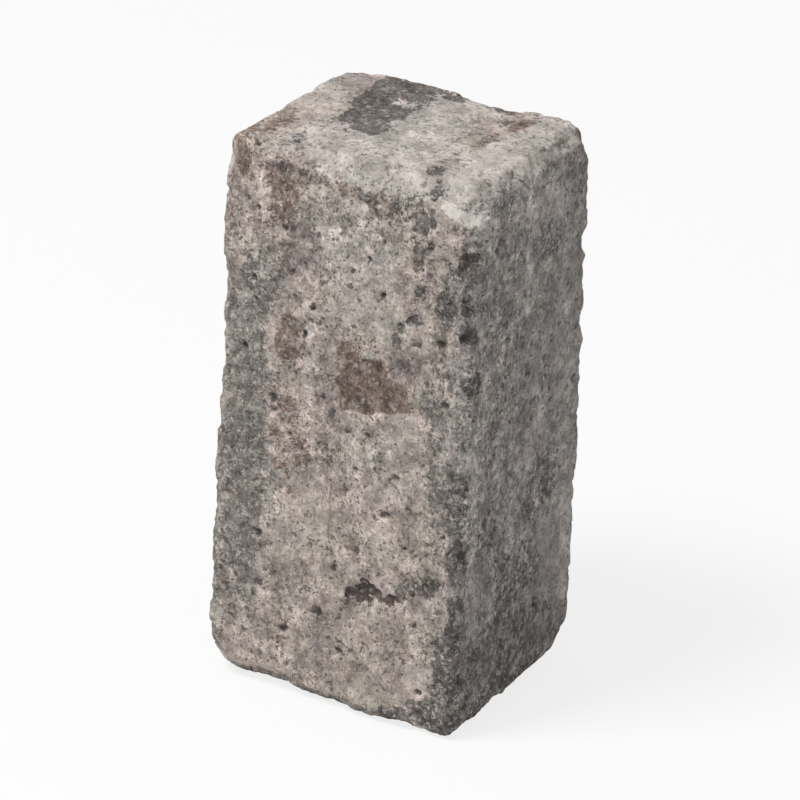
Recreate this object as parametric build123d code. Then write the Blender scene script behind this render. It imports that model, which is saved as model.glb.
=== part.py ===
"""A tumbled concrete palisade block for edging lawns and beds, cast in one piece.

It stands upright. X runs along the row that such blocks are set in, -Y is the face that shows, Z is up,
and the origin is the centre of the foot. Lengths are in millimetres.
"""

import os

from build123d import *

# Overall size of the casting
width = 120
depth = 100
height = 250

# How far tumbling has cut each edge back, at its first end and at its second. An edge across the block
# runs from left to right, one through it from front to back, and an upright one from foot to top.
front_foot_wear = (9, 4)
back_foot_wear = (5, 5)
front_top_wear = (5, 12)
back_top_wear = (7, 4)
left_foot_wear = (4, 5)
right_foot_wear = (4, 10)
left_top_wear = (4, 5)
right_top_wear = (7, 5)
front_left_wear = (3, 4)
front_right_wear = (4, 6)
back_left_wear = (5, 4)
back_right_wear = (3, 6)

# How far the four battered corners are knocked off, along X, Y and Z
front_right_top_chip = (20, 19, 24)
back_right_foot_chip = (17, 20, 22)
front_left_foot_chip = (17, 16, 17)
back_left_top_chip = (18, 16, 14)

# Radius that tumbling leaves on every ridge between two faces
ridge_radius = 3

# The round dents: half the width of each, and its depth. Where a dent lies on an edge or just beside one,
# its depth is measured from the unworn edge or face.
back_top_dip = (26, 8)
upper_right_bite = (9, 7)
lower_right_bite = (7, 6)
front_pit = (9, 3)
front_crack = (9, 2.4)
front_foot_bite = (28, 8)
back_foot_bite = (14, 6)
back_left_bite = (15, 6.5)
right_hollow = (20, 1.8)
left_hollow = (22, 2)
back_hollow = (24, 2)

# Where the dents are: right or left of the block's middle, behind its middle, above its foot, below its top
back_top_dip_right = 13
upper_right_bite_below_top = 52
lower_right_bite_below_top = 87
front_pit_from_edge = 5
front_pit_below_top = 31
front_crack_right = 14
front_crack_above_foot = 58
front_foot_bite_left = 34
back_foot_bite_left = 12
back_left_bite_above_foot = 96
right_hollow_behind = 20
right_hollow_above_foot = 95
left_hollow_behind = 10
left_hollow_below_top = 70
back_hollow_right = 22
back_hollow_below_top = 100


def corner(side, face, end):
    """A corner of the unworn box: side -1 is left, face -1 is front, and end 0 is the foot."""
    return Vector(side * width / 2, face * depth / 2, end * height)


def steps_inside(point):
    """Unit steps along X, Y and Z that lead from a corner of the unworn box into it."""
    return [
        Vector(-1 if point.X > 0 else 1, 0, 0),
        Vector(0, -1 if point.Y > 0 else 1, 0),
        Vector(0, 0, -1 if point.Z > 0 else 1),
    ]


def cut_by_plane(block, through, lost_corner):
    """Splits the block by the plane through three points, and keeps the side away from the corner."""
    origin, second, third = through
    outward = (second - origin).cross(third - origin)
    if outward.dot(lost_corner - origin) < 0:
        outward = -outward
    return split(block, bisect_by=Plane(origin=origin, z_dir=outward), keep=Keep.BOTTOM)


def wear_edge(block, start, end, wear):
    """Bevels the edge between two corners, by the first wear at its start and the second at its end."""
    along = (end - start).normalized()
    one_face, other_face = [step for step in steps_inside(start) if step.dot(along) == 0]
    wear_at_start, wear_at_end = wear
    through = [
        start + one_face * wear_at_start,
        start + other_face * wear_at_start,
        end + one_face * wear_at_end,
    ]
    return cut_by_plane(block, through, start)


def knock_off(block, point, chip):
    """Cuts one corner off, at the given distances along its three edges."""
    through = [point + step * distance for step, distance in zip(steps_inside(point), chip)]
    return cut_by_plane(block, through, point)


def dent(block, place, outward, shape):
    """Scoops a round dent with a ball that lies outward from a place on the unworn box."""
    half_width, deepest = shape
    ball_radius = (half_width**2 + deepest**2) / (2 * deepest)
    centre = place + outward.normalized() * (ball_radius - deepest)
    return block - Pos(centre) * Sphere(ball_radius)


left, right = -1, 1
front, back = -1, 1
foot, top = 0, 1

worn_edges = [
    (corner(left, front, foot), corner(right, front, foot), front_foot_wear),
    (corner(left, back, foot), corner(right, back, foot), back_foot_wear),
    (corner(left, front, top), corner(right, front, top), front_top_wear),
    (corner(left, back, top), corner(right, back, top), back_top_wear),
    (corner(left, front, foot), corner(left, back, foot), left_foot_wear),
    (corner(right, front, foot), corner(right, back, foot), right_foot_wear),
    (corner(left, front, top), corner(left, back, top), left_top_wear),
    (corner(right, front, top), corner(right, back, top), right_top_wear),
    (corner(left, front, foot), corner(left, front, top), front_left_wear),
    (corner(right, front, foot), corner(right, front, top), front_right_wear),
    (corner(left, back, foot), corner(left, back, top), back_left_wear),
    (corner(right, back, foot), corner(right, back, top), back_right_wear),
]

battered_corners = [
    (corner(right, front, top), front_right_top_chip),
    (corner(right, back, foot), back_right_foot_chip),
    (corner(left, front, foot), front_left_foot_chip),
    (corner(left, back, top), back_left_top_chip),
]

# The faces of the unworn box, and the ways out of it
right_x, left_x = width / 2, -width / 2
back_y, front_y = depth / 2, -depth / 2
to_right, to_left = Vector(1, 0, 0), Vector(-1, 0, 0)
to_back, to_front = Vector(0, 1, 0), Vector(0, -1, 0)
upward, downward = Vector(0, 0, 1), Vector(0, 0, -1)

dents = [
    (Vector(back_top_dip_right, back_y, height), to_back + upward, back_top_dip),
    (Vector(right_x, back_y, height - upper_right_bite_below_top), to_right + to_back, upper_right_bite),
    (Vector(right_x, back_y, height - lower_right_bite_below_top), to_right + to_back, lower_right_bite),
    (Vector(right_x - front_pit_from_edge, front_y, height - front_pit_below_top), to_front, front_pit),
    (Vector(front_crack_right, front_y, front_crack_above_foot), to_front, front_crack),
    (Vector(-front_foot_bite_left, front_y, 0), to_front + downward, front_foot_bite),
    (Vector(-back_foot_bite_left, back_y, 0), to_back + downward, back_foot_bite),
    (Vector(left_x, back_y, back_left_bite_above_foot), to_left + to_back, back_left_bite),
    (Vector(right_x, right_hollow_behind, right_hollow_above_foot), to_right, right_hollow),
    (Vector(left_x, left_hollow_behind, height - left_hollow_below_top), to_left, left_hollow),
    (Vector(back_hollow_right, back_y, height - back_hollow_below_top), to_back, back_hollow),
]

block = Pos(0, 0, height / 2) * Box(width, depth, height)
for start, end, wear in worn_edges:
    block = wear_edge(block, start, end, wear)
for point, chip in battered_corners:
    block = knock_off(block, point, chip)
block = fillet(block.edges(), ridge_radius)
for place, outward, shape in dents:
    block = dent(block, place, outward, shape)

os.makedirs("parts", exist_ok=True)
export_step(block, "parts/block.step")
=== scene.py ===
"""The look of one tumbled concrete palisade block: its worn, pitted surface and its marbled concrete.

The block's frame is used throughout: X along its width, -Y the face that shows, Z up from the foot.
Shapes and patterns are worked out in millimetres, and only the finished mesh is scaled to metres.
"""

import math

import bpy
import numpy as np
from mathutils import Euler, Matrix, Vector


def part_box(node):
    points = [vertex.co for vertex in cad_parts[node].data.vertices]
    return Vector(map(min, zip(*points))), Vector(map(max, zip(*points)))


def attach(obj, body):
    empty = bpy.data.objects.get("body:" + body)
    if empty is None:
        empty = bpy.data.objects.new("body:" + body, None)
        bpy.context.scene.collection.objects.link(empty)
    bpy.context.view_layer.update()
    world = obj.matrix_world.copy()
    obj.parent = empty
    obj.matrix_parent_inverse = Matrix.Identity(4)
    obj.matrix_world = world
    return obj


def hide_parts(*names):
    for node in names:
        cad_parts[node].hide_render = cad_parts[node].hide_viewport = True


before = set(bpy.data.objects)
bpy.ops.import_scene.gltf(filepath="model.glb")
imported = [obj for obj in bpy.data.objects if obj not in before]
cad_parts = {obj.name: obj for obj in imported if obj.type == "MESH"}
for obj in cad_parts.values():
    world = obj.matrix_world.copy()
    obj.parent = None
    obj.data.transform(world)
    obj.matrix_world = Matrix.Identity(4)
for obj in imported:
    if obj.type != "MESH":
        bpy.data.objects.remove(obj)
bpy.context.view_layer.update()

MM = 0.001

cad_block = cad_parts["block"]
low_corner, high_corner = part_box("block")
WIDTH, DEPTH, HEIGHT = (high_corner - low_corner) / MM
RIGHT, LEFT = WIDTH / 2, -WIDTH / 2
BACK, FRONT = DEPTH / 2, -DEPTH / 2
TOP = HEIGHT

# Mesh of the surface
COARSE_FACE = 1.6
ROUNDING_PASSES = 1
SUBDIVISIONS = 1
MOST_TRIANGLES = 196000

# Relief of the surface: how large each kind of unevenness is, and how far it goes from its top to its bottom
SWELL_SIZE, SWELL_DEPTH = 48, 1.4
LUMP_SIZE, LUMP_DEPTH = 17, 1.1
GRAVEL_SIZE, GRAVEL_DEPTH = 5.5, 1.2
SAND_SIZE, SAND_DEPTH = 2.3, 1.0
FLAKE_SIZE, FLAKE_DEPTH = 15, 0.7
CHIP_SIZE, CHIP_DEPTH = 11, 2.6
NICK_SIZE, NICK_DEPTH = 4.5, 1.5
PINHOLE_SIZE, PINHOLE_DEPTH = 2.6, 0.7
CRACK_DEPTH = 1.6
# Scattered pits: one to each cell of their spacing, with radii between the smallest and the largest
PIT_SPACING, PIT_DEPTH = 9, 1.3
SMALLEST_PIT, LARGEST_PIT = 0.8, 3.0
# The front's own pits: how deep they are, and how far to each side of the face their bowls reach
FRONT_PIT_DEPTH, FRONT_PIT_REACH = 1.2, 4
# How far in from an edge its wear reaches, how large its unevenness is, and how far that goes
EDGE_REACH = 11
EDGE_LUMP_SIZE, EDGE_RAGGEDNESS = 9, 0.9
# The upright edges are fuller than the solid's even bevels, by this much and this far in
UPRIGHT_REACH, UPRIGHT_FULLNESS = 8, 1.5
# All ridges are crisper than the solid's fillets, by this many times what the passes would smooth away
RIDGE_PASSES, RIDGE_CRISPNESS = 30, 1.4
# How far the relief is raised as a whole, and how far any of it may stand past the CAD box
SURFACE_LEVEL = 1.2
MOST_PROUD = 1.0

# Steps along the sides of the cubes of random numbers that noise and pits read again and again
LATTICE = 32
LATTICE_CUBE = (LATTICE,) * 3


def scattered_values(seed):
    """A cube of random numbers from -1 to 1, which noise reads at whole steps."""
    return np.random.default_rng(seed).uniform(-1, 1, LATTICE_CUBE)


def turned(points):
    """Points turned to a slant, so that no noise lattice lies along the block's faces."""
    slant = np.array(Euler((0.61, 0.43, 0.87)).to_matrix())
    return points @ slant.T


def noise(points, size, seed):
    """Smooth noise from -1 to 1 with lumps about the given size."""
    values = scattered_values(seed)
    cells = turned(points) / size
    low = np.floor(cells).astype(int)
    part = cells - low
    part = part * part * (3 - 2 * part)
    total = np.zeros(len(points))
    for corner in np.ndindex(2, 2, 2):
        x, y, z = ((low + corner) % LATTICE).T
        weight = np.prod(np.where(corner, part, 1 - part), axis=1)
        total += weight * values[x, y, z]
    return total


def rough_noise(points, size, seed, octaves=3):
    """Noise with finer noise laid on it, each layer half as large and half as strong."""
    layers = [noise(points, size / 2**k, seed + k) / 2**k for k in range(octaves)]
    return sum(layers) / sum(0.5**k for k in range(octaves))


def smooth_step(low, high, value):
    """0 where the value is at low, 1 where it is at high, and a soft ramp between."""
    ramp = np.clip((value - low) / (high - low), 0, 1)
    return ramp * ramp * (3 - 2 * ramp)


def warped(points, size, amount, seed):
    """Points pushed about by noise, which makes a plain outline ragged."""
    shift = [rough_noise(points, size, seed + 10 * axis) for axis in range(3)]
    return points + amount * np.array(shift).T


def scattered_bowls(points, spacing, smallest, largest, seed):
    """1 at the middle of bowls scattered one to a cell, down to 0 at their rims; most are small."""
    rng = np.random.default_rng(seed)
    offsets = rng.uniform(0, 1, (*LATTICE_CUBE, 3))
    radii = smallest + (largest - smallest) * rng.uniform(0, 1, LATTICE_CUBE) ** 3
    cells = turned(points) / spacing
    low = np.floor(cells).astype(int)
    deepest = np.zeros(len(points))
    for step in np.ndindex(3, 3, 3):
        cell = low + np.array(step) - 1
        x, y, z = (cell % LATTICE).T
        distance = np.linalg.norm(cell + offsets[x, y, z] - cells, axis=1) * spacing
        deepest = np.maximum(deepest, 1 - (distance / radii[x, y, z]) ** 2)
    return deepest


def bowl(points, centre, radii, depth):
    """Depth of one named hollow: an ellipsoid's bowl about a centre on the surface."""
    reach = np.linalg.norm((points - np.array(centre)) / np.array(radii), axis=1)
    return depth * np.clip(1 - reach**2, 0, 1)


def edge_nearness(points):
    """1 along the block's edges and 0 from EDGE_REACH inwards."""
    x, y, z = points.T
    to_faces = np.array([RIGHT - abs(x), BACK - abs(y), np.minimum(z, TOP - z)])
    second_nearest = np.sort(to_faces, axis=0)[1]
    return smooth_step(EDGE_REACH, 2, second_nearest)


def upright_nearness(points):
    """1 along the four upright edges, and 0 from UPRIGHT_REACH inwards and near the top and the foot."""
    x, y, z = points.T
    inwards = np.maximum(RIGHT - abs(x), BACK - abs(y))
    above_foot = smooth_step(4, 24, z)
    below_top = smooth_step(TOP - 4, TOP - 30, z)
    return smooth_step(UPRIGHT_REACH, 2, inwards) * above_foot * below_top


# Hollows that the solid doesn't have: centre, radii along X, Y and Z, and depth.
# A depth below 0 is a swelling.
HOLLOWS = [
    ((20, FRONT, 1), (22, 9, 9), -2.0),
    ((49, FRONT, 201), (8, 7, 8), 1.5),
    ((RIGHT - 2, FRONT, 187), (4, 6, 6), 1.2),
    ((23, FRONT, 240), (3, 8, 4), 1.3),
    ((32, FRONT, 242), (4, 8, 3), 1.2),
    ((39, FRONT, 236), (2.4, 7, 7), 1.9),
    ((38.5, FRONT, 224), (2.2, 5, 3), 1.4),
    ((33, FRONT, 219), (2.6, 5, 6), 1.0),
    ((39, FRONT, 212), (2.4, 5, 5), 1.3),
    ((31.5, FRONT, 189), (4, 6, 2.4), 1.1),
    ((27, FRONT, 184), (3, 6, 2.8), 0.8),
    ((25, FRONT, 177), (2.6, 5, 3), 0.7),
    ((34, FRONT, 178), (2.6, 5, 2.2), 0.7),
    ((46, FRONT, 124), (1.5, 5, 4.5), 1.1),
    ((55, FRONT, 112), (4, 6, 9), 1.1),
    ((-33, FRONT, 241), (8, 9, 5), 0.9),
    ((-12, FRONT, 239), (9, 9, 3), 0.7),
    ((9, FRONT, 238), (7, 8, 3), 0.7),
    ((29, -33, TOP), (3, 4, 4), 0.9),
    ((33, 8, TOP), (3, 5, 4), 0.7),
    ((29, 29, TOP), (2, 5, 4), 0.7),
    ((-17, 17, TOP), (4, 5, 4), 0.6),
    ((RIGHT, BACK, 246), (13, 12, 12), 3.0),
    ((LEFT, BACK, TOP), (28, 24, 14), 2.4),
    ((RIGHT + 1, BACK + 1, 199), (9, 9, 4.5), 2.4),
    ((RIGHT + 1, BACK + 1, 164), (8, 8, 3.5), 2.2),
    ((LEFT, FRONT, 150), (7, 6, 20), 0.9),
    ((LEFT, -22, 70), (7, 15, 18), 1.1),
    ((-30, BACK, 70), (16, 6, 15), 1.1),
]

# Pits in the front, carved and painted dark as painted shade in them: how far along and up they are, and
# their radius
FRONT_PITS = [
    (-33, 136, 2.6),
    (-30, 215, 2.1),
    (-24, 30, 3.1),
    (-36, 49, 2.9),
    (0, 66, 2.4),
    (45, 181, 2.7),
    (-43, 221, 2.1),
    (-26, 196, 2.0),
    (-16, 182, 2.0),
    (-45, 188, 2.4),
    (-48, 156, 2.4),
    (-7, 43, 3.2),
    (4, 28, 2.4),
    (-38, 72, 2.0),
    (22, 97, 2.0),
    (13, 131, 2.0),
    (8, 114, 1.8),
    (34, 103, 1.9),
    (49, 155, 2.2),
    (51, 95, 2.4),
    (-5, 136, 2.5),
    (43, 20, 2.2),
    (12, 233, 1.8),
    (17, 196, 1.7),
    (55, 219, 4.6),
    (56, 187, 2.6),
    (2, 203, 1.7),
    (10, 211, 1.8),
    (-19, 169, 2.0),
    (-9, 143, 2.2),
]


def front_pits(points):
    """1 at the middle of each of the front's dark pits, down to 0 at its rim."""
    deepest = np.zeros(len(points))
    for along, up, radius in FRONT_PITS:
        pit = bowl(points, (along, FRONT, up), (radius, FRONT_PIT_REACH, radius), 1.0)
        deepest = np.maximum(deepest, pit)
    return deepest


# Cracks in the front, each a row of places along X and Z with the crack's half width and its strength there
CRACKS = [
    [(8, 56, 3.0, 1.0), (11.5, 57, 2.4, 0.9), (14, 61.5, 3.0, 1.0)],
    [(14, 61.5, 3.0, 1.0), (16, 58.5, 2.0, 0.8), (19.5, 60, 4.2, 1.0)],
    [(12, 56, 2.2, 0.8), (16, 54.5, 2.2, 0.7)],
    [(20, 59, 2.6, 0.8), (24, 58.5, 1.8, 0.5), (29, 59.5, 3.0, 0.75), (32, 61, 1.8, 0.5)],
    [(32, 61, 2.4, 0.45), (37, 65, 3.4, 0.3), (44, 71, 3.6, 0.3), (53, 74, 2.4, 0.3)],
    [(10, 57, 2.2, 0.4), (5.5, 49, 2.2, 0.25), (3, 41, 2.0, 0.2), (2.5, 34, 1.8, 0.2), (4.5, 28, 2.0, 0.4)],
    [(54.5, 216.5, 3.0, 1.0), (55.5, 221.5, 3.4, 1.0)],
]


def crack_nearness(points):
    """1 along the middle of the front's cracks where they are strong, down to 0 at their sides."""
    x, y, z = points.T
    nearest = np.zeros(len(points))
    for crack in CRACKS:
        for (x1, z1, width1, strength1), (x2, z2, width2, strength2) in zip(crack, crack[1:]):
            length = math.hypot(x2 - x1, z2 - z1)
            share = np.clip(((x - x1) * (x2 - x1) + (z - z1) * (z2 - z1)) / length**2, 0, 1)
            off = np.hypot(x - x1 - share * (x2 - x1), z - z1 - share * (z2 - z1))
            inside = np.clip(1 - (off / (width1 + share * (width2 - width1))) ** 2, 0, 1)
            nearest = np.maximum(nearest, inside * (strength1 + share * (strength2 - strength1)))
    return nearest * smooth_step(FRONT + 8, FRONT + 6, y)


def coarseness(points, mixes):
    """How rough the skin is: coarse in the dark mixes, finer on top, low down, and behind on the right."""
    x, y, z = points.T
    dark = np.clip(np.maximum(mixes["grey"], mixes["charcoal_and_shaded_pits"]), 0, 1)
    on_top = smooth_step(TOP - 9, TOP - 3, z)
    on_right = smooth_step(RIGHT - 8, RIGHT - 3, x)
    behind = smooth_step(-25, 25, y)
    low_down = smooth_step(60, 30, z)
    lower_half = 1 - 0.14 * smooth_step(135, 95, z)
    right_side = 1 + on_right * (0.25 - 0.55 * behind - 0.3 * low_down)
    return (0.95 + 0.5 * dark) * (1 - 0.5 * on_top) * lower_half * right_side


def relief(points, mixes):
    """How far the worn surface lies below the CAD one, and what the material needs to know of it."""
    edge = edge_nearness(points)
    battered = edge * (0.6 + 0.4 * smooth_step(TOP - 30, TOP - 12, points[:, 2]))
    ragged = warped(points, 5, 3.0, 61)
    swell = SWELL_DEPTH * (0.5 + 0.5 * noise(points, SWELL_SIZE, 1))
    lumps = LUMP_DEPTH * (0.5 + 0.5 * rough_noise(points, LUMP_SIZE, 11))
    gravel = rough_noise(points, GRAVEL_SIZE, 21, 2)
    sand = rough_noise(points, SAND_SIZE, 31, 2)
    flaked = smooth_step(0.22, 0.30, rough_noise(points, FLAKE_SIZE, 91) + 0.22 * edge)
    coarse = coarseness(points, mixes)
    ground = coarse * (GRAVEL_DEPTH * gravel * (1 - 0.3 * edge) + SAND_DEPTH * sand) / 2
    chips = CHIP_DEPTH * battered * smooth_step(0.2, 0.8, rough_noise(points, CHIP_SIZE, 51))
    nicks = NICK_DEPTH * battered * smooth_step(0.25, 0.6, rough_noise(points, NICK_SIZE, 45))
    ragged_edge = EDGE_RAGGEDNESS * battered * rough_noise(points, EDGE_LUMP_SIZE, 41)
    hollows = sum(bowl(ragged, *hollow) for hollow in HOLLOWS)
    cracks = crack_nearness(warped(points, 3.2, 2.6, 71))
    own_pits = FRONT_PIT_DEPTH * front_pits(warped(points, 3, 1.8, 75))
    pits = scattered_bowls(warped(points, 2.4, 2.2, 65), PIT_SPACING, SMALLEST_PIT, LARGEST_PIT, 81)
    pinholes = PINHOLE_DEPTH * smooth_step(0.45, 0.8, rough_noise(points, PINHOLE_SIZE, 85, 2))
    depth = swell + lumps + ground + FLAKE_DEPTH * flaked + chips + nicks + ragged_edge + hollows
    depth += CRACK_DEPTH * cracks + own_pits + PIT_DEPTH * pits + pinholes
    depth -= SURFACE_LEVEL + UPRIGHT_FULLNESS * upright_nearness(points)
    # The depth entry is how deep a pit lies, which the material paints as shade in pits, hollows and nicks;
    # grains how far grains stand out, which it paints as light where the relief is high and as shade where
    # it is low; busy how strongly fine grain shows
    traits = {
        "pit_shade_depth": PIT_DEPTH * pits + pinholes + own_pits + 0.4 * hollows + 0.5 * nicks,
        "grains": -0.6 * gravel - 0.4 * sand,
        "flaked": flaked,
        "crack": 1.6 * cracks,
        "busy": coarse * (0.92 + 0.4 * noise(points, 19, 95)),
    }
    return depth, traits


# Where each mix shows: centre, radii along X, Y and Z, how fully it covers there, and its turn in degrees
BROWN_PATCHES = [
    ((7, FRONT, 154), (9, 14, 10), 1.6),
    ((6, FRONT, 146), (7, 14, 5), 1.6),
    ((19, FRONT, 151), (12, 14, 6.5), 1.6, (0, -10, 0)),
    ((14, FRONT, 160), (7, 12, 6), 1.3),
    ((2, FRONT, 167), (7, 12, 5), 0.62),
    ((-30, FRONT, 229), (7, 14, 15), 0.68),
    ((-37, FRONT, 237), (3, 10, 5), 0.7),
    ((-50, FRONT, 239), (4, 8, 7), 0.6),
    ((-56, FRONT, 208), (4, 8, 20), 0.5),
    ((-26, FRONT, 164), (7, 14, 11), 0.66),
    ((-27, FRONT, 124), (8, 14, 28), 0.48),
    ((-19, FRONT, 117), (5, 14, 12), 0.6),
    ((12, FRONT, 226), (16, 8, 9), 0.36),
    ((8, FRONT, 238), (18, 6, 2.6), 0.5),
    ((-18, FRONT, 241), (22, 6, 2.6), 0.45),
    ((-24, FRONT, 29), (3.5, 10, 9), 0.6),
    ((-7, FRONT, 43), (4, 8, 4), 0.55),
    ((33, FRONT, 219), (3, 8, 8), 0.6),
    ((42, FRONT, 177), (6, 8, 6), 0.4),
    ((34, FRONT, 103), (4, 8, 2.5), 0.5),
    ((-52, -32, TOP), (8, 20, 12), 0.62),
    ((35, 30, TOP), (4, 10, 8), 0.7),
    ((32, 5, TOP), (4, 12, 8), 0.5),
    ((30, -14, TOP), (3, 12, 6), 0.45),
    ((LEFT, 5, 120), (9, 18, 52), 0.55, (16, 0, 0)),
    ((18, BACK, 96), (13, 14, 36), 0.55, (0, 14, 0)),
    ((-36, BACK, 200), (9, 14, 40), 0.55, (0, 6, 0)),
]
MAUVE_PATCHES = [
    ((30, FRONT, 168), (7, 10, 7), 1.5),
    ((29, FRONT, 156), (5, 10, 5), 0.75),
    ((-24, FRONT, 208), (8, 10, 15), 0.75),
    ((-19, FRONT, 222), (5, 10, 8), 0.6),
    ((-8, FRONT, 152), (4.5, 9, 20), 0.85),
    ((-3, FRONT, 112), (6, 9, 22), 0.5),
    ((-32, FRONT, 56), (11, 10, 10), 0.62),
    ((4.5, FRONT, 44), (3.2, 9, 13), 1.0, (0, 20, 0)),
    ((1, FRONT, 42), (6, 9, 13), 0.55),
    ((-5, FRONT, 30), (5, 9, 18), 0.6),
    ((39, FRONT, 213), (2.5, 8, 6), 0.9),
    ((35, FRONT, 203), (3, 8, 6), 0.6),
    ((40, FRONT, 62), (6, 8, 4), 0.7),
    ((24, FRONT, 22), (14, 9, 5), 0.35),
    ((-38, 18, TOP), (4, 8, 8), 0.8),
    ((-46, 30, TOP), (7, 12, 8), 0.45),
    ((18, 14, TOP), (8, 12, 8), 0.4),
    ((33, -34, TOP), (8, 14, 8), 0.35),
]
CHARCOAL_PATCHES = [
    ((55.5, FRONT, 219.5), (4, 8, 5.5), 1.4),
    ((52, FRONT, 214), (5, 8, 3), 0.7),
    ((50, FRONT, 200), (9, 9, 8), 0.62),
    ((57, FRONT, 188), (3, 9, 5), 0.9),
    ((31.5, FRONT, 189), (3.2, 8, 1.8), 1.1),
    ((27, FRONT, 184), (2.4, 8, 2.4), 0.85),
    ((25, FRONT, 177), (2.4, 8, 3), 0.8),
    ((34, FRONT, 178), (2.5, 8, 2), 0.7),
    ((27, FRONT, 174), (7, 8, 9), 0.42),
    ((39, FRONT, 236), (1.8, 8, 5), 1.0),
    ((38.5, FRONT, 224), (1.8, 8, 2.5), 0.9),
    ((28, FRONT, 237), (8, 8, 7), 0.58),
    ((34, FRONT, 234), (3, 8, 5), 0.8),
    ((23, FRONT, 240), (2.4, 8, 2.4), 0.85),
    ((-33, FRONT, 241), (3, 8, 2), 0.75),
    ((-23, FRONT, 241), (4, 8, 1.5), 0.7),
    ((-10, FRONT, 238), (5, 8, 1.8), 0.6),
    ((9, FRONT, 237), (6, 8, 1.6), 0.6),
    ((33, FRONT, 218), (2.5, 8, 6), 0.75),
    ((35, FRONT, 204), (2.2, 8, 4), 0.7),
    ((36, FRONT, 66), (6, 8, 4), 0.5, (0, -38, 0)),
    ((47, FRONT, 71), (7, 8, 5), 0.58),
    ((55, FRONT, 112), (5, 8, 13), 0.6),
    ((58, FRONT, 84), (4, 8, 12), 0.7),
    ((58, FRONT, 56), (4, 8, 14), 0.6),
    ((56, FRONT, 34), (6, 9, 17), 0.68),
    ((54, FRONT, 10), (11, 9, 10), 0.75),
    ((32, FRONT, 5), (8, 9, 4.5), 0.85),
    ((-30, 38, TOP), (7, 12, 16), 1.2),
    ((-18, 33, TOP), (8, 12, 14), 0.95),
    ((-28, 16, TOP), (7, 13, 12), 1.2),
    ((-16, 8, TOP), (7, 9, 12), 1.2),
    ((-15, -9, TOP), (7, 8, 12), 1.15),
    ((-24, -2, TOP), (7, 9, 10), 1.2),
    ((-9, 24, TOP), (4, 8, 10), 0.6),
    ((-4, 40, TOP), (8, 5, 12), 0.7),
    ((-27, -15, TOP), (12, 9, 8), 0.42),
    ((5, 42, TOP), (16, 4, 8), 0.45),
    ((30, -33, TOP), (4, 5, 6), 0.8),
    ((36, -43, TOP - 2), (4, 6, 8), 0.55),
    ((33, 8, TOP), (3, 5, 6), 0.55),
    ((29, 28, TOP), (2.2, 6, 6), 0.75),
    ((21, 40, TOP), (6, 3, 8), 0.7),
    ((-33, -37, TOP), (4, 6, 8), 0.45),
    ((RIGHT, -44, 164), (6, 5, 5), 0.8),
    ((RIGHT, -46, 100), (6, 5, 16), 0.5),
    ((RIGHT, 20, 95), (9, 14, 16), 0.54),
    ((RIGHT, 2, 56), (9, 22, 22), 0.46),
    ((RIGHT, 14, 209), (9, 13, 9), 0.46),
    ((RIGHT, -30, 90), (9, 12, 12), 0.42),
    ((RIGHT, -10, 20), (9, 50, 26), 0.58),
    ((LEFT, 22, 60), (9, 16, 46), 0.55, (12, 0, 0)),
    ((-34, BACK, 66), (14, 10, 34), 0.58, (0, 12, 0)),
    ((8, BACK, 190), (12, 10, 46), 0.52, (0, -8, 0)),
    ((-8, BACK, 14), (42, 10, 11), 0.58),
]
GREY_AND_FOOT_SHADOW_PATCHES = [
    ((-46, FRONT, 118), (11, 22, 84), 0.74),
    ((LEFT, -10, 150), (8, 18, 80), 0.5),
    ((22, BACK, 60), (24, 8, 60), 0.5),
    ((-57, FRONT, 66), (6, 14, 66), 0.6),
    ((-41, FRONT, 188), (9, 16, 18), 0.6),
    ((-36, FRONT, 84), (9, 14, 26), 0.45),
    ((49, FRONT, 135), (10, 9, 46), 0.55),
    ((53, FRONT, 204), (9, 9, 20), 0.65),
    ((42, FRONT, 8), (6, 9, 5), 0.7),
    # Painted shadow: a thin grey line along the front's foot, where the block meets the floor
    ((0, FRONT, 4), (60, 9, 3), 0.6),
    ((-42, BACK, 130), (9, 24, 90), 0.7),
]
PALE_AND_LIT_BEVEL_PATCHES = [
    ((6, -28, TOP), (42, 24, 7), 1.2),
    ((5, 18, TOP), (18, 32, 7), 1.1),
    ((48, 5, TOP), (13, 46, 6), 1.1),
    ((-50, 18, TOP), (10, 22, 8), 1.0),
    ((52, -36, TOP), (12, 14, 8), 1.0),
    # Painted light: a pale band along the front-top bevel, which faces up to the light
    ((6, FRONT, 245), (28, 10, 4), 1.0),
    ((-17, 17, TOP), (3.5, 4, 5), 0.9),
    ((0, FRONT, 218), (24, 10, 20), 0.64),
    ((8, FRONT, 190), (18, 10, 14), 0.56),
    ((20, FRONT, 122), (18, 10, 22), 0.44),
    ((-28, FRONT, 82), (12, 10, 16), 0.32),
    ((-43, FRONT, 194), (4.5, 6, 3.5), 0.95),
    ((-48, FRONT, 181), (2.5, 6, 3), 0.9),
    ((-41, FRONT, 103), (4.5, 6, 4), 0.9),
    ((-48, FRONT, 115), (2.5, 6, 2.5), 0.9),
    ((-16, FRONT, 163), (3, 6, 20), 0.6),
    ((53, FRONT, 210), (3.5, 6, 3), 0.85),
    ((49, FRONT, 118), (3, 6, 4), 0.85),
    ((55, FRONT, 180), (1.8, 6, 4), 0.9),
    ((12, FRONT, 168), (2.2, 6, 1.8), 1.1),
    ((35, FRONT, 28), (3.5, 6, 3.5), 0.95),
    ((46, FRONT, 28), (3.5, 6, 3.5), 0.95),
]
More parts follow.
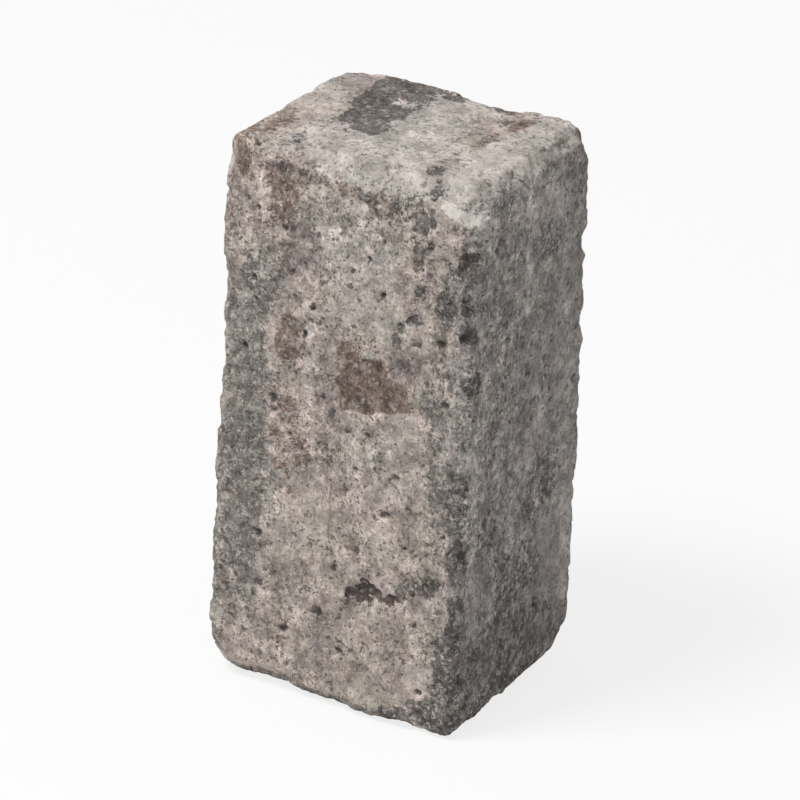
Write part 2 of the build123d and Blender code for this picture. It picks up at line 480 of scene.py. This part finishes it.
LIGHT_ASH_AND_LIT_BEVEL_PATCHES = [
    # Painted light: a light band along the front-top bevel, which faces up to the light
    ((12, FRONT + 3, 247), (32, 7, 4), 0.85),
    ((-6, -24, TOP), (22, 9, 5), 0.62),
    ((10, 4, TOP), (7, 20, 5), 0.6),
    ((RIGHT, -38, 232), (6, 9, 10), 0.95),
    ((RIGHT, -34, 211), (6, 5, 4), 0.8),
    ((RIGHT, -23, 172), (6, 4, 8), 0.8),
    ((RIGHT, -12, 141), (6, 7, 5), 0.75),
    ((RIGHT, 12, 125), (6, 3.5, 10), 0.75),
    ((RIGHT, -40, 130), (6, 9, 60), 0.56),
    ((RIGHT, 0, 232), (6, 26, 14), 0.68),
    ((RIGHT, -5, 200), (6, 26, 30), 0.38),
    ((RIGHT, -20, 158), (6, 10, 14), 0.5),
    ((RIGHT, 43, 70), (6, 6, 40), 0.7),
    ((RIGHT, 40, 140), (6, 7, 26), 0.5),
    ((RIGHT, 32, 84), (6, 3, 4), 0.6),
]
FRACTURE_PATCHES = [
    ((50, FRONT + 3, 240), (9, 7, 1.7), 1.4, (0, 18, 0)),
]


def cover(points, patches):
    """How fully a mix covers each point: the most that any of its patches gives there."""
    fullness = np.zeros(len(points))
    for centre, radii, strength, *turn in patches:
        angles = [math.radians(angle) for angle in (turn[0] if turn else (0, 0, 0))]
        rotation = np.array(Euler(angles).to_matrix())
        local = (points - np.array(centre)) @ rotation / np.array(radii)
        reach = np.linalg.norm(local, ord=3, axis=1)
        fullness = np.maximum(fullness, strength * smooth_step(1.5, 0.6, reach))
    return fullness


def sheets(points, size, seed):
    """Cloudy sheets of a mix, which run through the block from front to back and up it."""
    return smooth_step(0.1, 0.9, rough_noise(points * (1, 1 / 3.2, 1 / 4.5), size, seed))


def ash_cover(points):
    """The ash-grey mix of the right side. It thins towards the top and front, and fades over the back."""
    x, y, z = points.T
    reach = 11 + 32 * smooth_step(0, BACK, y)
    inwards = np.clip((x - RIGHT + reach) / (reach - 2), 0, 1)
    below_top = smooth_step(TOP - 2, TOP - 8, z + 2 * noise(points, 9, 201))
    past_front_edge = 1 - 0.3 * smooth_step(FRONT + 24, FRONT + 4, y)
    return 1.15 * inwards * below_top * past_front_edge


def covers(points):
    """How fully each mix covers each point."""
    frayed = warped(points, 5, 2.2, 131)
    swayed = warped(frayed, 16, 5.0, 101)
    return {
        "pale": cover(frayed, PALE_AND_LIT_BEVEL_PATCHES),
        "brown": np.maximum(cover(frayed, BROWN_PATCHES), 0.5 * sheets(swayed, 17, 211)),
        "mauve": cover(frayed, MAUVE_PATCHES),
        "grey": np.maximum(cover(swayed, GREY_AND_FOOT_SHADOW_PATCHES), 0.5 * sheets(swayed, 21, 221)),
        "ash": ash_cover(points),
        "light_ash_and_lit_bevel": cover(frayed, LIGHT_ASH_AND_LIT_BEVEL_PATCHES),
        # The charcoal mix, with the front's pits laid in as painted shade
        "charcoal_and_shaded_pits": np.maximum(cover(frayed, CHARCOAL_PATCHES), 0.9 * front_pits(points)),
        "fracture": cover(points, FRACTURE_PATCHES),
    }


def in_scene(name, data):
    """A new object of the given name and data, put into the scene."""
    thing = bpy.data.objects.new(name, data)
    bpy.context.scene.collection.objects.link(thing)
    return thing


def apply_modifiers(piece, *steps):
    """Applies modifiers, each given as its type and its settings, to the piece's mesh."""
    for kind, settings in steps:
        modifier = piece.modifiers.new(kind.lower(), kind)
        for setting, value in settings.items():
            setattr(modifier, setting, value)
    graph = bpy.context.evaluated_depsgraph_get()
    mesh = bpy.data.meshes.new_from_object(piece.evaluated_get(graph), depsgraph=graph)
    piece.modifiers.clear()
    piece.data = mesh


def per_vertex(mesh, source, field):
    """A vector for each vertex, such as its place or its normal, as an array."""
    values = np.zeros(len(mesh.vertices) * 3, np.float32)
    getattr(mesh, source).foreach_get(field, values)
    return values.reshape(-1, 3).astype(float)


def softened(piece):
    """The places of the piece's vertices once its ridges are smoothed away."""
    copy = in_scene("softened", piece.data.copy())
    apply_modifiers(copy, ("SMOOTH", {"factor": 0.5, "iterations": RIDGE_PASSES}))
    points = per_vertex(copy.data, "vertices", "co") / MM
    bpy.data.objects.remove(copy)
    return points


def worn_block():
    """The block's piece: the CAD solid on a fine even mesh, with the relief cut into it."""
    piece = in_scene("tumbled_block", cad_block.data.copy())
    apply_modifiers(
        piece,
        ("REMESH", {"mode": "VOXEL", "voxel_size": COARSE_FACE * MM}),
        ("SMOOTH", {"factor": 0.5, "iterations": ROUNDING_PASSES}),
        ("SUBSURF", {"levels": SUBDIVISIONS, "render_levels": SUBDIVISIONS}),
    )
    mesh = piece.data
    points = per_vertex(mesh, "vertices", "co") / MM
    normals = per_vertex(mesh, "vertex_normals", "vector")
    mixes = covers(points)
    depth, traits = relief(points, mixes)
    crisper = RIDGE_CRISPNESS * (points - softened(piece))
    carved = points + crisper - normals * depth[:, None]
    lowest = (LEFT - MOST_PROUD, FRONT - MOST_PROUD, 0)
    highest = (RIGHT + MOST_PROUD, BACK + MOST_PROUD, TOP + MOST_PROUD)
    carved = np.clip(carved, lowest, highest)
    mesh.vertices.foreach_set("co", (carved * MM).astype(np.float32).ravel())
    for name, values in {**traits, **mixes}.items():
        attribute = mesh.attributes.new(name, "FLOAT", "POINT")
        attribute.data.foreach_set("value", values.astype(np.float32))
    mesh.update()
    share_kept = MOST_TRIANGLES / (2 * len(mesh.polygons))
    apply_modifiers(piece, ("DECIMATE", {"ratio": share_kept, "use_collapse_triangulate": True}))
    piece.data.shade_smooth()
    return piece


def linear(red, green, blue):
    """A colour given as 0 to 255 on the screen, as the linear colour that shaders take."""
    shares = [value / 255 for value in (red, green, blue)]
    return [s / 12.92 if s <= 0.04045 else ((s + 0.055) / 1.055) ** 2.4 for s in shares] + [1]


class Nodes:
    """Builds a material's nodes; a method returns the output of the node that it adds."""

    def __init__(self, material):
        material.use_nodes = True
        self.tree = material.node_tree
        self.tree.nodes.clear()

    def add(self, kind, inputs=None, output=0, **settings):
        node = self.tree.nodes.new(kind)
        for setting, value in settings.items():
            setattr(node, setting, value)
        for name, value in (inputs or {}).items():
            if isinstance(value, bpy.types.NodeSocket):
                self.tree.links.new(value, node.inputs[name])
            else:
                node.inputs[name].default_value = value
        return node.outputs[output] if node.outputs else None

    def math(self, operation, first, second=0.0, clamp=False):
        return self.add("ShaderNodeMath", {0: first, 1: second}, operation=operation, use_clamp=clamp)

    def vector(self, operation, first, second):
        return self.add("ShaderNodeVectorMath", {0: first, 1: second}, operation=operation)

    def attribute(self, name):
        """A number that the mesh carries at each of its vertices."""
        return self.add("ShaderNodeAttribute", output="Fac", attribute_name=name)

    def position(self):
        """The place on the block, in millimetres."""
        place = self.add("ShaderNodeTexCoord", output="Object")
        return self.vector("MULTIPLY", place, (1 / MM,) * 3)

    def cells(self, place, size, stretch, shift):
        """A place in units of the given size, drawn out along an axis by its stretch."""
        scale = [1 / (size * share) for share in stretch]
        return self.add("ShaderNodeMapping", {"Vector": place, "Location": shift, "Scale": scale})

    def noise(self, place, size, detail=2.0, roughness=0.5, stretch=(1,) * 3, shift=(0,) * 3, output="Fac"):
        """Noise with lumps about the given size; the shift picks another part of it."""
        moved = self.cells(place, size, stretch, shift)
        inputs = {"Vector": moved, "Scale": 1.0, "Detail": detail, "Roughness": roughness}
        return self.add("ShaderNodeTexNoise", inputs, output)

    def ramp(self, value, low, high, start=0.0, end=1.0):
        """A soft step from start, where the value is at low, to end, where it is at high."""
        inputs = {"Value": value, "From Min": low, "From Max": high, "To Min": start, "To Max": end}
        return self.add("ShaderNodeMapRange", inputs, interpolation_type="SMOOTHSTEP")

    def mix(self, factor, first, second, blend="MIX"):
        node = self.tree.nodes.new("ShaderNodeMix")
        node.data_type = "RGBA"
        node.blend_type = blend
        for socket, value in ((node.inputs[0], factor), (node.inputs[6], first), (node.inputs[7], second)):
            if isinstance(value, bpy.types.NodeSocket):
                self.tree.links.new(value, socket)
            else:
                socket.default_value = value
        return node.outputs[2]

    def laid(self, colour, mask, strength, over):
        """A colour with another laid over it, where the mask is and at the given strength."""
        return self.mix(self.math("MULTIPLY", mask, strength), colour, over)


# The two colours of the ground, between which it drifts
BEIGES = linear(192, 178, 170), linear(183, 174, 162)

# The mixes that are laid over it in turn: name, two colours, how large their drift is, how strongly they
# colour, how soft their edges are, and how far they gather in clots rather than break up into single grains
MIXES = [
    ("pale", linear(198, 191, 184), linear(187, 179, 172), 9, 0.9, 0.35, 0.4),
    ("mauve", linear(128, 116, 112), linear(152, 141, 136), 7, 0.75, 0.35, 0.4),
    ("brown", linear(112, 95, 85), linear(136, 118, 107), 6, 0.9, 0.18, 0.3),
    ("grey", linear(110, 107, 102), linear(149, 145, 139), 7, 0.88, 0.2, 0.2),
    ("ash", linear(135, 131, 129), linear(167, 163, 160), 9, 0.92, 0.3, 0.3),
    ("light_ash_and_lit_bevel", linear(182, 175, 168), linear(206, 199, 191), 5, 0.8, 0.25, 0.15),
    # The charcoal mix, whose colours also paint the front's pits as painted shade
    ("charcoal_and_shaded_pits", linear(80, 76, 74), linear(118, 113, 109), 5, 0.92, 0.15, 0.25),
    ("crack", linear(70, 60, 57), linear(96, 86, 82), 4, 0.95, 0.15, 0.1),
]
FRACTURES = linear(224, 218, 211), linear(206, 199, 191)
# The tints between which all of it drifts: towards mauve, and towards olive
TINTS = (1.02, 0.985, 1.01, 1), (0.995, 1.01, 0.99, 1)
GRAIN_DARK, GRAIN_LIGHT = linear(88, 83, 80), linear(214, 208, 201)
SPECK_DARK, SPECK_LIGHT = linear(80, 71, 66), linear(212, 205, 198)
# Painted shade: the colour that pits, hollows and nicks are darkened towards, more the deeper they lie
PAINTED_PIT_SHADE = linear(66, 61, 58)
SEAM_DARK = linear(118, 104, 97)

# The fine upright seam in the front: each length's place along X and its two heights, and half its width
SEAM_LENGTHS = [(-6.3, 104, 119), (-3.6, 78, 104)]
SEAM_HALF_WIDTH = 0.45


class Concrete(Nodes):
    """The nodes of marbled concrete, laid one mix over another."""

    def __init__(self, material):
        super().__init__(material)
        self.place = self.position()
        push = self.vector("SUBTRACT", self.noise(self.place, 2.6, output="Color"), (0.5,) * 3)
        self.frayed = self.vector("ADD", self.place, self.vector("MULTIPLY", push, (3.0,) * 3))

    def broken(self, cover, shift, softness, clotted):
        """A mask of the given cover with a broken outline: clots, gravel and sand of the mix."""
        clots = self.ramp(self.noise(self.place, 10, 3.0, 0.6, shift=shift), 0.3, 0.7)
        gravel = self.ramp(self.noise(self.frayed, 3.2, 2.0, 0.6, shift=shift), 0.3, 0.7)
        sand = self.ramp(self.noise(self.place, 1.1, 1.0, 0.6, shift=shift), 0.28, 0.72)
        bar = self.math("MULTIPLY", clots, clotted)
        bar = self.math("ADD", bar, self.math("MULTIPLY", gravel, 0.6 * (1 - clotted)))
        bar = self.math("ADD", bar, self.math("MULTIPLY", sand, 0.4 * (1 - clotted)))
        return self.ramp(self.math("SUBTRACT", cover, bar), -softness, softness)

    def tone(self, colours, size, shift):
        """A colour between two, which drifts from place to place."""
        drift = self.ramp(self.noise(self.place, size, 4.0, 0.65, shift=shift), 0.3, 0.7)
        return self.mix(drift, *colours)

    def shaded(self, colour, value, low, high, darkest, lightest):
        """A colour made darker where a value is low and lighter where it is high."""
        return self.mix(1.0, colour, self.ramp(value, low, high, darkest, lightest), "MULTIPLY")

    def specks(self, size, level, shift):
        """Irregular specks from the peaks of a noise, in loose clusters."""
        clusters = self.noise(self.place, 24, 2.0, 0.5, shift=shift)
        level_here = self.ramp(clusters, 0.35, 0.65, level + 0.04, level - 0.03)
        peaks = self.noise(self.frayed, size, 2.0, 0.5, shift=shift)
        return self.ramp(peaks, level_here, self.math("ADD", level_here, 0.05))

    def grains(self, size, share, shift):
        """Grains of sand or stone, of which a share shows: where they are, and a random number for each."""
        cells = self.cells(self.frayed, size, (1, 1, 1), shift)
        grain = self.add("ShaderNodeTexVoronoi", {"Vector": cells, "Scale": 1.0}).node
        chance = self.add("ShaderNodeSeparateColor", {0: grain.outputs["Color"]}).node
        shape = self.ramp(grain.outputs["Distance"], 0.52, 0.32)
        shown = self.math("LESS_THAN", chance.outputs["Red"], share)
        return self.math("MULTIPLY", shape, shown), chance.outputs["Green"]

    def seam(self):
        """1 along the fine upright seam in the front."""
        axes = self.add("ShaderNodeSeparateXYZ", {0: self.place}).node
        wander = self.noise(self.place, 5, 2.0, 0.6)
        along = self.math("ADD", axes.outputs["X"], self.ramp(wander, 0.2, 0.8, -0.7, 0.7))
        in_front = self.ramp(axes.outputs["Y"], FRONT + 6, FRONT + 4)
        total = None
        for place, low, high in SEAM_LENGTHS:
            off = self.math("ABSOLUTE", self.math("SUBTRACT", along, place))
            line = self.ramp(off, SEAM_HALF_WIDTH + 0.3, SEAM_HALF_WIDTH - 0.3)
            line = self.math("MULTIPLY", line, self.ramp(axes.outputs["Z"], low - 1, low + 2))
            line = self.math("MULTIPLY", line, self.ramp(axes.outputs["Z"], high + 1, high - 2))
            total = line if total is None else self.math("MAXIMUM", total, line)
        return self.math("MULTIPLY", total, in_front)


def marbled(nodes):
    """The ground with the mixes laid over it, and the clouds and tints that drift through all of them."""
    colour = nodes.tone(BEIGES, 20, (0, 0, 0))
    for number, (name, first, second, drift, strength, softness, clotted) in enumerate(MIXES):
        mask_shift = (4 + number, 8 - number, 1 + 3 * number)
        mask = nodes.broken(nodes.attribute(name), mask_shift, softness, clotted)
        over = nodes.tone((first, second), drift, (3 * number, 2, 9 - number))
        colour = nodes.laid(colour, mask, strength, over)
    clouds = nodes.noise(nodes.place, 12, 3.0, 0.6, shift=(7, 7, 1))
    colour = nodes.shaded(colour, clouds, 0.3, 0.7, 0.75, 1.23)
    colour = nodes.mix(1.0, colour, nodes.tone(TINTS, 16, (8, 15, 3)), "MULTIPLY")
    return nodes.shaded(colour, nodes.attribute("flaked"), 0.0, 1.0, 1.0, 0.93)


def grained(nodes, colour):
    """A colour with the light and dark of mottle, streaks and sand, and with painted light on the relief's
    high grains and painted shade where the relief lies low.
    """
    mottle = nodes.noise(nodes.frayed, 4.8, 3.0, 0.6, shift=(4, 4, 4))
    colour = nodes.shaded(colour, mottle, 0.3, 0.7, 0.64, 1.28)
    streaks = nodes.noise(nodes.place, 1.7, 3.0, 0.6, (1, 1, 1.8), (6, 2, 3))
    colour = nodes.shaded(colour, streaks, 0.28, 0.72, 0.68, 1.22)
    sand = nodes.noise(nodes.place, 1.1, 3.0, 0.7, shift=(3, 1, 7))
    colour = nodes.shaded(colour, sand, 0.28, 0.72, 0.69, 1.25)
    # Painted light and shade: lighter where the relief stands high, darker where it lies low
    return nodes.shaded(colour, nodes.attribute("grains"), -0.6, 0.6, 0.78, 1.16)


def concrete():
    """Marbled concrete: a beige ground, mixes of other colours, sand, stones, specks and pits."""
    material = bpy.data.materials.new("marbled_concrete")
    nodes = Concrete(material)

    ground = marbled(nodes)
    busy = nodes.math("MULTIPLY", nodes.attribute("busy"), 1.0, clamp=True)
    colour = nodes.mix(busy, ground, grained(nodes, ground))

    stones, stone_tone = nodes.grains(4.6, 0.28, (2, 6, 1))
    stone_strength = nodes.math("MULTIPLY", busy, 0.45)
    colour = nodes.laid(colour, stones, stone_strength, nodes.mix(stone_tone, GRAIN_DARK, GRAIN_LIGHT))
    pebbles, pebble_tone = nodes.grains(2.3, 0.4, (5, 1, 8))
    pebble_strength = nodes.math("MULTIPLY", busy, 0.38)
    colour = nodes.laid(colour, pebbles, pebble_strength, nodes.mix(pebble_tone, GRAIN_DARK, GRAIN_LIGHT))

    colour = nodes.laid(colour, nodes.specks(1.9, 0.63, (9, 4, 2)), 0.45, SPECK_LIGHT)
    large_specks = nodes.specks(2.6, 0.63, (1, 13, 8))
    small_specks = nodes.specks(1.5, 0.63, (6, 3, 11))
    dark_specks = nodes.math("MAXIMUM", large_specks, small_specks)
    colour = nodes.laid(colour, dark_specks, nodes.ramp(busy, 0.2, 0.8, 0.4, 0.74), SPECK_DARK)
    colour = nodes.laid(colour, nodes.seam(), 0.6, SEAM_DARK)
    # Painted shade in pits, hollows and nicks: the deeper, the darker
    pit_shade_depth = nodes.ramp(nodes.attribute("pit_shade_depth"), 0.15, 1.5, 0.0, 0.75)
    colour = nodes.mix(pit_shade_depth, colour, PAINTED_PIT_SHADE)
    fracture = nodes.broken(nodes.attribute("fracture"), (12, 0, 25), 0.3, 0.3)
    colour = nodes.laid(colour, fracture, 0.85, nodes.tone(FRACTURES, 4, (24, 2, 1)))

    fine = nodes.noise(nodes.place, 0.9, 3.0, 0.7)
    height = nodes.math("SUBTRACT", fine, nodes.math("MULTIPLY", dark_specks, 0.7))
    height = nodes.math("ADD", height, nodes.math("MULTIPLY", pebbles, 0.35))
    height = nodes.math("ADD", height, nodes.math("MULTIPLY", stones, 0.4))
    bump = nodes.add("ShaderNodeBump", {"Strength": 0.9, "Distance": 0.5 * MM, "Height": height})
    shader = nodes.add(
        "ShaderNodeBsdfPrincipled",
        {
            "Base Color": colour,
            "Roughness": nodes.ramp(fine, 0.2, 0.8, 0.86, 1.0),
            "Specular IOR Level": 0.25,
            "Normal": bump,
        },
    )
    nodes.add("ShaderNodeOutputMaterial", {"Surface": shader})
    return material


# The floor, in metres, and how much of its own white shows to the camera in place of the lit surface
FLOOR_HALF_SIZE = 4.0
FLOOR_GLOW = 0.8

# The light: the world's strength, and the softbox's place, target and size in metres and its power in watts
WORLD_STRENGTH = 0.42
KEY_PLACE, KEY_TARGET = (-0.8, -1.2, 2.6), (0, 0, 0.12)
KEY_SIZE, KEY_POWER = 0.9, 62


def white_stage():
    """A white floor that shows white to the camera but keeps the block's soft shadow."""
    half = FLOOR_HALF_SIZE
    corners = [(-half, -half, 0), (half, -half, 0), (half, half, 0), (-half, half, 0)]
    mesh = bpy.data.meshes.new("floor")
    mesh.from_pydata(corners, [], [(0, 1, 2, 3)])
    floor = in_scene("floor", mesh)
    material = bpy.data.materials.new("floor_white")
    nodes = Nodes(material)
    diffuse = nodes.add("ShaderNodeBsdfDiffuse", {"Color": linear(240, 240, 240)})
    glow = nodes.add("ShaderNodeEmission", {"Color": (1, 1, 1, 1), "Strength": 1.0})
    share = nodes.math("MULTIPLY", seen_directly(nodes), FLOOR_GLOW)
    shader = nodes.add("ShaderNodeMixShader", {0: share, 1: diffuse, 2: glow})
    nodes.add("ShaderNodeOutputMaterial", {"Surface": shader})
    mesh.materials.append(material)


def seen_directly(nodes):
    """1 for rays from the camera and for those that a gloss or a glass sends on."""
    path = nodes.add("ShaderNodeLightPath", output="Is Camera Ray").node
    either = nodes.math("MAXIMUM", path.outputs["Is Camera Ray"], path.outputs["Is Glossy Ray"])
    return nodes.math("MAXIMUM", either, path.outputs["Is Transmission Ray"])


def world_light(strength):
    """An even pale light from all round, which the camera sees as plain white."""
    world = bpy.data.worlds.new("studio")
    bpy.context.scene.world = world
    nodes = Nodes(world)
    lift = nodes.ramp(seen_directly(nodes), 0, 1, strength, 1.0)
    sky = nodes.add("ShaderNodeBackground", {"Color": (1, 1, 1, 1), "Strength": lift})
    nodes.add("ShaderNodeOutputWorld", {"Surface": sky})


def area_light(name, place, target, size, power):
    """A square softbox that faces its target; places in metres, power in watts."""
    lamp = bpy.data.lights.new(name, "AREA")
    lamp.size = size
    lamp.energy = power
    light = in_scene(name, lamp)
    light.location = place
    light.rotation_euler = (Vector(target) - Vector(place)).to_track_quat("-Z", "Y").to_euler()


# The camera, as the photograph's: how far right of the front it stands and how far above, in degrees, its
# distance in metres, its lean in degrees and its lens in millimetres
CAMERA_SIDE, CAMERA_RISE = 29.2, 25.2
CAMERA_DISTANCE = 2.94
CAMERA_ROLL = 2.8
CAMERA_LENS = 313
SENSOR = 36


def camera():
    """The camera, aimed at the block's middle."""
    data = bpy.data.cameras.new("camera")
    data.lens = CAMERA_LENS
    data.sensor_width = SENSOR
    data.clip_end = 50
    side, rise = math.radians(CAMERA_SIDE), math.radians(CAMERA_RISE)
    towards = Vector((math.sin(side) * math.cos(rise), -math.cos(side) * math.cos(rise), math.sin(rise)))
    viewer = in_scene("camera", data)
    viewer.location = Vector((0, 0, HEIGHT / 2 * MM)) + towards * CAMERA_DISTANCE
    aim = (-towards).to_track_quat("-Z", "Y").to_matrix()
    viewer.rotation_euler = (aim @ Euler((0, 0, math.radians(CAMERA_ROLL))).to_matrix()).to_euler()
    bpy.context.scene.camera = viewer


block = worn_block()
block.data.materials.clear()
block.data.materials.append(concrete())
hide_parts("block")
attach(block, "root")

white_stage()
world_light(WORLD_STRENGTH)
area_light("key", KEY_PLACE, KEY_TARGET, KEY_SIZE, KEY_POWER)
camera()
bpy.context.scene.view_settings.view_transform = "Standard"
